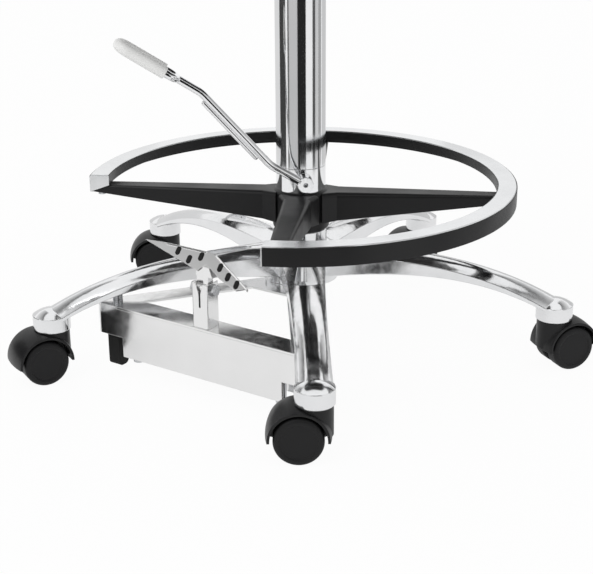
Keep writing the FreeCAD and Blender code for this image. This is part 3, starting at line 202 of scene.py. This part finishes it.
def bright_metal(name, light, dark, smooth, rough, streak, waviness, edge):
    """Bare or plated metal with faint clouds and streaks, slow waves and softly rounded edges."""
    finish = Finish(name, Metallic=1.0)
    finish.round_edges(edge)
    cloud = finish.noise(scale=14, detail=5)
    lines = finish.noise(scale=60, detail=1, stretch=streak)
    finish.colour(finish.mixed(finish.ranged(cloud), dark, light))
    finish.roughness(finish.ranged(lines, smooth, rough))
    finish.bump(finish.noise(scale=9, detail=2), strength=waviness, distance=0.002)
    finish.bump(lines, strength=0.02, distance=0.0002)
    return finish.material


# Colour of the paler edges on black pieces, partly wear and partly a painted edge highlight, and how much
# wider than the rounding that paler band is
EDGE_WEAR_AND_HIGHLIGHT_BLACK = (0.03, 0.03, 0.03)
EDGE_WEAR_AND_HIGHLIGHT_REACH = 1.5


def black_coat(name, colour, smooth, rough, grain, coat, edge):
    """Coated or moulded black with a fine grain, uneven gloss and paler edges, partly worn and partly a
    painted highlight.
    """
    finish = Finish(name, Coat_Weight=coat, Coat_Roughness=0.25, Specular_IOR_Level=0.25)
    finish.round_edges(edge)
    patch = finish.noise(scale=22, detail=6)
    wear_and_highlight_patches = finish.ranged(finish.noise(scale=160, detail=4), start=0.45, end=0.75)
    # Mask of the paler edges, broken into patches: partly wear, partly a painted highlight along the edges
    wear_and_highlight = finish.combined("MULTIPLY", finish.edges(EDGE_WEAR_AND_HIGHLIGHT_REACH * edge), wear_and_highlight_patches)
    shade = finish.mixed(finish.ranged(patch), colour, brighter(colour, 1.35))
    finish.colour(finish.mixed(wear_and_highlight, shade, EDGE_WEAR_AND_HIGHLIGHT_BLACK))
    finish.roughness(finish.ranged(patch, smooth, rough))
    finish.bump(finish.noise(scale=grain, detail=3), strength=0.12, distance=0.0003)
    return finish.material


def milky_plastic(name, colour):
    """Pale plastic with faint clouds and a satin skin."""
    finish = Finish(name, Specular_IOR_Level=0.4)
    cloud = finish.noise(scale=25, detail=1)
    finish.colour(finish.mixed(finish.ranged(cloud), colour, brighter(colour, 1.06)))
    finish.roughness(finish.ranged(cloud, 0.35, 0.45))
    return finish.material


def leather(name, colour):
    """Smooth upholstery leather with a pebbled grain and soft creases."""
    finish = Finish(name, Sheen_Weight=0.1, Sheen_Roughness=0.4)
    pebble = finish.cells(scale=900)
    crease = finish.noise(scale=35, detail=6)
    finish.colour(finish.mixed(finish.ranged(crease), colour, brighter(colour, 1.6)))
    finish.roughness(finish.ranged(crease, 0.38, 0.55))
    finish.bump(pebble, strength=0.35, distance=0.0004)
    finish.bump(crease, strength=0.25, distance=0.0012)
    return finish.material


def stained_board(name, colour):
    """Board stained dark, with long grain that shows through."""
    finish = Finish(name, Specular_IOR_Level=0.3)
    grain = finish.noise(scale=20, detail=8, stretch=(1, 14, 40))
    finish.colour(finish.mixed(finish.ranged(grain), colour, brighter(colour, 1.8)))
    finish.roughness(finish.ranged(grain, 0.5, 0.7))
    finish.bump(grain, strength=0.2, distance=0.0005)
    return finish.material


# Stretch of the streaks in metal: long up the column, or the same all ways
UPRIGHT_STREAKS = (8, 8, 0.4)
EVEN_STREAKS = (2, 2, 2)

METALS = {
    "polished_aluminium": dict(
        light=(0.87, 0.87, 0.88), dark=(0.78, 0.79, 0.80), smooth=0.10, rough=0.18,
        streak=EVEN_STREAKS, waviness=0.12, edge=0.0015),
    "chrome_steel": dict(
        light=(0.90, 0.90, 0.91), dark=(0.84, 0.85, 0.86), smooth=0.05, rough=0.10,
        streak=UPRIGHT_STREAKS, waviness=0.02, edge=0.0008),
    "bright_sheet": dict(
        light=(0.87, 0.87, 0.87), dark=(0.82, 0.82, 0.82), smooth=0.11, rough=0.17,
        streak=EVEN_STREAKS, waviness=0.05, edge=0.0008),
    "plain_steel": dict(
        light=(0.68, 0.69, 0.70), dark=(0.52, 0.53, 0.55), smooth=0.2, rough=0.36,
        streak=EVEN_STREAKS, waviness=0.03, edge=0.0006),
    "bright_tread": dict(
        light=(0.82, 0.83, 0.84), dark=(0.74, 0.75, 0.76), smooth=0.16, rough=0.22,
        streak=EVEN_STREAKS, waviness=0.03, edge=0.0006),
}
BLACKS = {
    "black_paint": dict(
        colour=(0.008, 0.008, 0.0085), smooth=0.34, rough=0.5, grain=700, coat=0.1, edge=0.0012),
    "black_plastic": dict(
        colour=(0.009, 0.009, 0.0095), smooth=0.45, rough=0.6, grain=1200, coat=0.0, edge=0.0008),
    "black_gloss_plastic": dict(
        colour=(0.008, 0.008, 0.0085), smooth=0.3, rough=0.45, grain=900, coat=0.05, edge=0.0015),
    "wheel_tread": dict(
        colour=(0.009, 0.009, 0.0095), smooth=0.42, rough=0.6, grain=1500, coat=0.0, edge=0.0012),
    "black_rubber": dict(
        colour=(0.009, 0.009, 0.009), smooth=0.6, rough=0.8, grain=2000, coat=0.0, edge=0.0015),
}

finishes = {name: bright_metal(name, **look) for name, look in METALS.items()}
finishes |= {name: black_coat(name, **look) for name, look in BLACKS.items()}
finishes["pale_plastic"] = milky_plastic("pale_plastic", (0.88, 0.88, 0.87))
finishes["black_upholstery"] = leather("black_upholstery", (0.012, 0.012, 0.013))
finishes["board"] = stained_board("board", (0.012, 0.011, 0.011))


def dress_frame():
    """Each carried-over solid takes the finish of its material slot."""
    for part in frame["record"]["subparts"]:
        node = nodes[part["node"]]
        node.data.materials.clear()
        node.data.materials.append(finishes[part["material_slot"]])


class Pad:
    """One cushion: a slightly smaller copy of its solid, filled out as cloth, seamed and piped."""

    # The cover before it is filled: grid of its mesh, how far and how soon its sides lie in, slack of its top
    VOXEL = 0.005
    INSET = 0.001
    INSET_GROWTH = 3
    SLACK = 0.05

    # The simulation
    FRAMES = 20
    QUALITY = 6
    STIFFNESS = 12
    PRESSURE = 12

    # The seam: the share of a grid step in which it holds the cover, how deep it draws in, and how widely
    SEAM_HOLD = 0.8
    SEAM_DEPTH = 0.0015
    SEAM_REACH = 0.006

    # The piping: its radius, the share of that by which it stands out, and the steps along and around it
    PIPING = 0.0032
    PIPING_OUT = 0.2
    PIPING_STEPS = 220
    PIPING_SIDES = 8

    def __init__(self, node, body, outward, seam_share, cap):
        """The cap is the furthest that filling moves any point of the cover."""
        self.node, self.body, self.cap = node, body, cap
        self.outward = Vector(outward)
        low, high = (Vector(corner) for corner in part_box(node))
        self.middle = (low + high) / 2
        reach = sorted((low.dot(self.outward), high.dot(self.outward)))
        self.base, self.depth = reach[0], reach[1] - reach[0]
        self.seam = seam_share * self.depth

    def height(self, point):
        return point.dot(self.outward) - self.base

    def build(self):
        piece = self.cut_cover()
        self.swell(piece)
        self.draw_seam(piece)
        piece.data.materials.clear()
        piece.data.materials.append(finishes["black_upholstery"])
        piece.data.shade_smooth()
        piece.modifiers.new("smooth", "SUBSURF").levels = 1
        piping = self.pipe(piece)
        for part in (piece, piping):
            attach(part, self.body)
        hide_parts(self.node)

    def cut_cover(self):
        """An evenly meshed copy of the solid, with its sides and its top drawn in a little."""
        mesh = nodes[self.node].data.copy()
        for vertex in mesh.vertices:
            offset = vertex.co - self.middle
            flat = offset - self.outward * offset.dot(self.outward)
            height = self.height(vertex.co)
            growth = min(1, self.INSET_GROWTH * height / self.depth)
            vertex.co -= flat.normalized() * min(self.INSET, flat.length) * growth
            vertex.co -= self.outward * max(0, height - self.seam) * self.SLACK
        piece = add_object(self.node + "_cover", mesh)
        remesh = piece.modifiers.new("even", "REMESH")
        remesh.mode = "VOXEL"
        remesh.voxel_size = self.VOXEL
        self.settle(piece)
        return piece

    def settle(self, piece):
        """Write the modifiers' result into the mesh and take them off."""
        shape = bpy.data.meshes.new_from_object(piece.evaluated_get(bpy.context.evaluated_depsgraph_get()))
        piece.modifiers.clear()
        piece.data = shape

    def is_held(self, height):
        """Whether the cover is held here: on its board, or by the seam."""
        return height < self.VOXEL or abs(height - self.seam) < self.SEAM_HOLD * self.VOXEL

    def swell(self, piece):
        """Fill the cover out by pressure, no point further than the cap."""
        before = [vertex.co.copy() for vertex in piece.data.vertices]
        held = [index for index, point in enumerate(before) if self.is_held(self.height(point))]
        sewn = piece.vertex_groups.new(name="sewn")
        sewn.add(held, 1.0, "REPLACE")
        cloth = piece.modifiers.new("stuffing", "CLOTH")
        cloth.settings.quality = self.QUALITY
        cloth.settings.tension_stiffness = self.STIFFNESS
        cloth.settings.compression_stiffness = self.STIFFNESS
        cloth.settings.vertex_group_mass = "sewn"
        cloth.settings.use_pressure = True
        cloth.settings.uniform_pressure_force = self.PRESSURE
        cloth.settings.effector_weights.gravity = 0
        cloth.collision_settings.use_collision = False
        cloth.point_cache.frame_end = self.FRAMES
        for step in range(1, self.FRAMES + 1):
            scene.frame_set(step)
        self.settle(piece)
        scene.frame_set(1)
        for vertex, start in zip(piece.data.vertices, before):
            move = vertex.co - start
            if move.length > self.cap:
                vertex.co = start + move.normalized() * self.cap

    def draw_seam(self, piece):
        """Draw the cover in along the seam, as the sewing pulls it."""
        for vertex in piece.data.vertices:
            flat = vertex.normal - self.outward * vertex.normal.dot(self.outward)
            apart = (self.height(vertex.co) - self.seam) / self.SEAM_REACH
            vertex.co -= flat * self.SEAM_DEPTH * math.exp(-apart * apart)

    def seam_line(self, piece):
        """Points around the cover at the seam, where rays from outside meet it."""
        tree = BVHTree.FromObject(piece, bpy.context.evaluated_depsgraph_get())
        across = Vector((1, 0, 0))
        along = self.outward.cross(across)
        level = self.middle + self.outward * (self.seam - self.height(self.middle))
        line = []
        for index in range(self.PIPING_STEPS):
            turn = 2 * math.pi * index / self.PIPING_STEPS
            way = across * math.cos(turn) + along * math.sin(turn)
            hit = tree.ray_cast(level + way, -way)[0]
            line.append(hit + way * self.PIPING * self.PIPING_OUT)
        return line

    def pipe(self, piece):
        """Closed bead of piping that follows the cover along the seam."""
        line = self.seam_line(piece)
        points, faces = [], []
        for index, point in enumerate(line):
            following = (index + 1) % len(line)
            ahead = (line[following] - line[index - 1]).normalized()
            side = ahead.cross(self.outward)
            here, after = index * self.PIPING_SIDES, following * self.PIPING_SIDES
            for step in range(self.PIPING_SIDES):
                turn = 2 * math.pi * step / self.PIPING_SIDES
                points.append(point + (side * math.cos(turn) + self.outward * math.sin(turn)) * self.PIPING)
                beside = (step + 1) % self.PIPING_SIDES
                faces.append((here + step, after + step, after + beside, here + beside))
        mesh = bpy.data.meshes.new(self.node + "_piping")
        mesh.from_pydata(points, [], faces)
        mesh.shade_smooth()
        mesh.materials.append(finishes["black_upholstery"])
        bead = add_object(self.node + "_piping", mesh)
        bead.modifiers.new("smooth", "SUBSURF").levels = 1
        return bead


# Cards around the stand: from and to in degrees right of the camera's side, foot and head, level at each
CARDS = (
    (-13, 24, 0.035, 0.8, 0.02, 0.02),
    (55, 69, 0.03, 0.32, 0.10, 0.10),
    (69, 85, 0.03, 0.32, 0.62, 0.62),
    (86, 105, 0.03, 0.32, 0.38, 0.38),
    (112, 160, 0.03, 0.32, 0.62, 0.62),
    (-52, -13, 0.03, 0.32, 0.52, 0.56),
    (-59, -52, 0.03, 0.32, 0.12, 0.12),
    (-105, -69, 0.03, 0.32, 0.055, 0.055),
    (-160, -105, 0.03, 0.32, 0.75, 0.75),
    (-130, -14, 0.42, 1.0, 0.80, 0.06),
    (30, 130, 0.42, 1.0, 0.80, 0.06),
)
CARD_DISTANCE = 0.68
CARD_STEP = 4


def make_card(name, start, end, foot, head, low_level, high_level):
    """One curved upright card that only polished surfaces mirror, shaded from its foot to its head."""
    steps = max(2, round((end - start) / CARD_STEP))
    points = []
    for step in range(steps + 1):
        turn = math.radians(start + (end - start) * step / steps)
        place = Vector((math.sin(turn), -math.cos(turn), 0)) * CARD_DISTANCE
        points += [place + Vector((0, 0, foot)), place + Vector((0, 0, head))]
    faces = [(2 * step, 2 * step + 2, 2 * step + 3, 2 * step + 1) for step in range(steps)]
    mesh = bpy.data.meshes.new(name)
    mesh.from_pydata(points, [], faces)
    finish = Finish(name, Base_Color=(0, 0, 0, 1), Specular_IOR_Level=0.0, Emission_Strength=1.0)
    axes = finish.add("ShaderNodeSeparateXYZ")
    finish.feed(finish.space, axes.inputs[0])
    rise = finish.ranged(axes.outputs["Z"], start=foot, end=head)
    glow = finish.mixed(rise, (low_level,) * 3, (high_level,) * 3)
    finish.feed(glow, finish.shader.inputs["Emission Color"])
    finish.material.cycles.emission_sampling = "NONE"
    mesh.materials.append(finish.material)
    card = add_object(name, mesh)
    card.visible_camera = False
    card.visible_diffuse = False
    card.visible_shadow = False


# Floor: its reach each way, and the share of plain white in it as the camera sees it and as metal mirrors it
FLOOR_REACH = 8.0
FLOOR_WHITE_SEEN = 0.95
FLOOR_WHITE_MIRRORED = 0.6


def make_floor():
    """A floor that is part plain white, and for the rest lit and shaded."""
    corners = [(-FLOOR_REACH, -FLOOR_REACH, 0), (FLOOR_REACH, -FLOOR_REACH, 0),
               (FLOOR_REACH, FLOOR_REACH, 0), (-FLOOR_REACH, FLOOR_REACH, 0)]
    mesh = bpy.data.meshes.new("floor")
    mesh.from_pydata(corners, [], [(0, 1, 2, 3)])
    finish = Finish("floor", Roughness=0.9, Base_Color=(0.92, 0.92, 0.92, 1))
    path = finish.add("ShaderNodeLightPath")
    seen = finish.ranged(path.outputs["Is Camera Ray"], 0, FLOOR_WHITE_SEEN, 0, 1)
    mirrored = finish.ranged(path.outputs["Is Glossy Ray"], 0, FLOOR_WHITE_MIRRORED, 0, 1)
    white = finish.add("ShaderNodeEmission")
    blend = finish.add("ShaderNodeMixShader")
    finish.feed(finish.combined("MAXIMUM", seen, mirrored), blend.inputs["Fac"])
    finish.feed(finish.shader.outputs["BSDF"], blend.inputs[1])
    finish.feed(white.outputs["Emission"], blend.inputs[2])
    finish.feed(blend.outputs["Shader"], finish.tree.nodes["Material Output"].inputs["Surface"])
    finish.material.cycles.emission_sampling = "NONE"
    mesh.materials.append(finish.material)
    add_object("floor", mesh)


# Strength of the white world as a light, and as the camera sees it and metal mirrors it
WORLD_LIGHT = 0.75
WORLD_SEEN = 1.0


def make_world():
    world = bpy.data.worlds.new("studio")
    scene.world = world
    world.use_nodes = True
    tree = world.node_tree
    path = tree.nodes.new("ShaderNodeLightPath")
    seen = tree.nodes.new("ShaderNodeMath")
    seen.operation = "MAXIMUM"
    tree.links.new(path.outputs["Is Camera Ray"], seen.inputs[0])
    tree.links.new(path.outputs["Is Glossy Ray"], seen.inputs[1])
    level = tree.nodes.new("ShaderNodeMapRange")
    level.inputs["To Min"].default_value = WORLD_LIGHT
    level.inputs["To Max"].default_value = WORLD_SEEN
    tree.links.new(seen.outputs[0], level.inputs["Value"])
    background = tree.nodes["Background"]
    background.inputs["Color"].default_value = (1, 1, 1, 1)
    tree.links.new(level.outputs["Result"], background.inputs["Strength"])


def make_lamp(name, at, target, size, power):
    data = bpy.data.lights.new(name, "AREA")
    data.shape = "RECTANGLE"
    data.size, data.size_y = size
    data.energy = power
    lamp = add_object(name, data)
    lamp.location = at
    lamp.rotation_mode = "QUATERNION"
    lamp.rotation_quaternion = (Vector(target) - Vector(at)).to_track_quat("-Z", "Y")


make_camera()
dress_frame()
Pad("seat_cushion", "seat", outward=(0, 0, 1), seam_share=0.56, cap=0.022).build()
Pad("back_cushion", "backrest", outward=(0, -1, 0), seam_share=0.56, cap=0.016).build()
make_floor()
for number, card in enumerate(CARDS):
    make_card(f"card_{number}", *card)
make_world()
make_lamp("key", at=(-1.2, -1.6, 2.4), target=(0, 0, 0.2), size=(1.4, 1.4), power=18)
